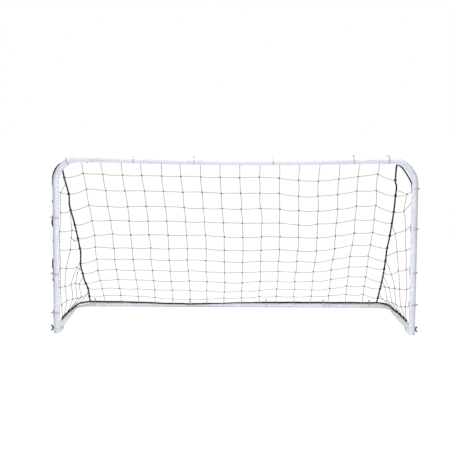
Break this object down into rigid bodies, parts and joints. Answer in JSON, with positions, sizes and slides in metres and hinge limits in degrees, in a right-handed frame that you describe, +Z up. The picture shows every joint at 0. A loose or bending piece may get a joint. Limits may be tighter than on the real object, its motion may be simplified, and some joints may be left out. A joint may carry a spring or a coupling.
{
  "type": "soccer goal frame",
  "caption": "Folding portable soccer goal: round steel tube hoop, U-shaped ground frame hinged on wing bolts, and a slack knotted net held by clips and a border rope.",
  "frame": {"origin": "on the floor, under the middle of the goal's outline", "axes": "+X along the crossbar, to the right when the goal mouth is seen from the front; +Y from the mouth to the back; +Z up"},
  "size_m": [1.877, 0.6593, 0.9093],
  "materials": {
    "powder_coated_tube": "white powder coat, satin",
    "cap_plastic": "moulded, light grey",
    "dark_steel": "black zinc",
    "zinc_steel": "zinc plated",
    "spring_steel": "bright spring steel",
    "clip_plastic": "moulded, white",
    "border_rope": "black braided polypropylene rope",
    "net_cord": "knotted light grey polyethylene cord"
  },
  "bodies": {
    "hoop": {"left_upright": "powder_coated_tube", "right_upright": "powder_coated_tube", "crossbar_left": "powder_coated_tube", "crossbar_right": "powder_coated_tube", "left_foot_cap": "cap_plastic", "right_foot_cap": "cap_plastic", "left_hinge_bracket": "powder_coated_tube", "right_hinge_bracket": "powder_coated_tube", "left_pivot_bolt": "dark_steel", "right_pivot_bolt": "dark_steel", "left_pivot_washers": "zinc_steel", "right_pivot_washers": "zinc_steel", "left_corner_leaf_spring": "spring_steel", "crossbar_leaf_spring": "spring_steel", "right_corner_leaf_spring": "spring_steel", "crossbar_net_clips": "clip_plastic", "left_post_net_clips": "clip_plastic", "right_post_net_clips": "clip_plastic", "mouth_rope": "border_rope", "left_seam_rope": "border_rope", "right_seam_rope": "border_rope", "back_net": "net_cord", "left_side_net": "net_cord", "right_side_net": "net_cord"},
    "base_frame": {"left_side_bar": "powder_coated_tube", "right_side_bar": "powder_coated_tube", "rear_bar_left": "powder_coated_tube", "rear_bar_right": "powder_coated_tube", "left_pivot_sleeve": "zinc_steel", "right_pivot_sleeve": "zinc_steel", "left_rear_leaf_spring": "spring_steel", "rear_bar_leaf_spring": "spring_steel", "right_rear_leaf_spring": "spring_steel", "rear_bar_net_clips": "clip_plastic", "ground_rope": "border_rope"},
    "left_wing_nut": {"left_wing_nut": "dark_steel"},
    "right_wing_nut": {"right_wing_nut": "dark_steel"},
    "crossbar_snap_button": {"crossbar_snap_button": "spring_steel"},
    "left_corner_snap_button": {"left_corner_snap_button": "spring_steel"},
    "right_corner_snap_button": {"right_corner_snap_button": "spring_steel"},
    "rear_bar_snap_button": {"rear_bar_snap_button": "spring_steel"},
    "left_rear_snap_button": {"left_rear_snap_button": "spring_steel"},
    "right_rear_snap_button": {"right_rear_snap_button": "spring_steel"}
  },
  "joints": [
    {"name": "base_frame_fold", "type": "hinge", "parent": "hoop", "child": "base_frame", "pos_m": [0, -0.267, 0.016], "axis": [1, 0, 0], "range_deg": [0, 90], "deforming": ["back_net", "left_side_net", "right_side_net", "left_seam_rope", "right_seam_rope", "ground_rope"]},
    {"name": "left_wing_nut_turn", "type": "hinge", "parent": "hoop", "child": "left_wing_nut", "pos_m": [-0.925, -0.267, 0.016], "axis": [-1, 0, 0], "continuous": true},
    {"name": "right_wing_nut_turn", "type": "hinge", "parent": "hoop", "child": "right_wing_nut", "pos_m": [0.925, -0.267, 0.016], "axis": [1, 0, 0], "continuous": true},
    {"name": "crossbar_button_press", "type": "slide", "parent": "hoop", "child": "crossbar_snap_button", "axis": [0, 0, 1], "range_m": [0, 0.0045], "stiffness_N_per_m": 1000, "deforming": ["crossbar_leaf_spring"]},
    {"name": "left_corner_button_press", "type": "slide", "parent": "hoop", "child": "left_corner_snap_button", "axis": [0, 0, 1], "range_m": [0, 0.0045], "stiffness_N_per_m": 1000, "deforming": ["left_corner_leaf_spring"]},
    {"name": "right_corner_button_press", "type": "slide", "parent": "hoop", "child": "right_corner_snap_button", "axis": [0, 0, 1], "range_m": [0, 0.0045], "stiffness_N_per_m": 1000, "deforming": ["right_corner_leaf_spring"]},
    {"name": "rear_bar_button_press", "type": "slide", "parent": "base_frame", "child": "rear_bar_snap_button", "axis": [0, -1, 0], "range_m": [0, 0.0045], "stiffness_N_per_m": 1000, "deforming": ["rear_bar_leaf_spring"]},
    {"name": "left_rear_button_press", "type": "slide", "parent": "base_frame", "child": "left_rear_snap_button", "axis": [0, -1, 0], "range_m": [0, 0.0045], "stiffness_N_per_m": 1000, "deforming": ["left_rear_leaf_spring"]},
    {"name": "right_rear_button_press", "type": "slide", "parent": "base_frame", "child": "right_rear_snap_button", "axis": [0, -1, 0], "range_m": [0, 0.0045], "stiffness_N_per_m": 1000, "deforming": ["right_rear_leaf_spring"]}
  ]
}
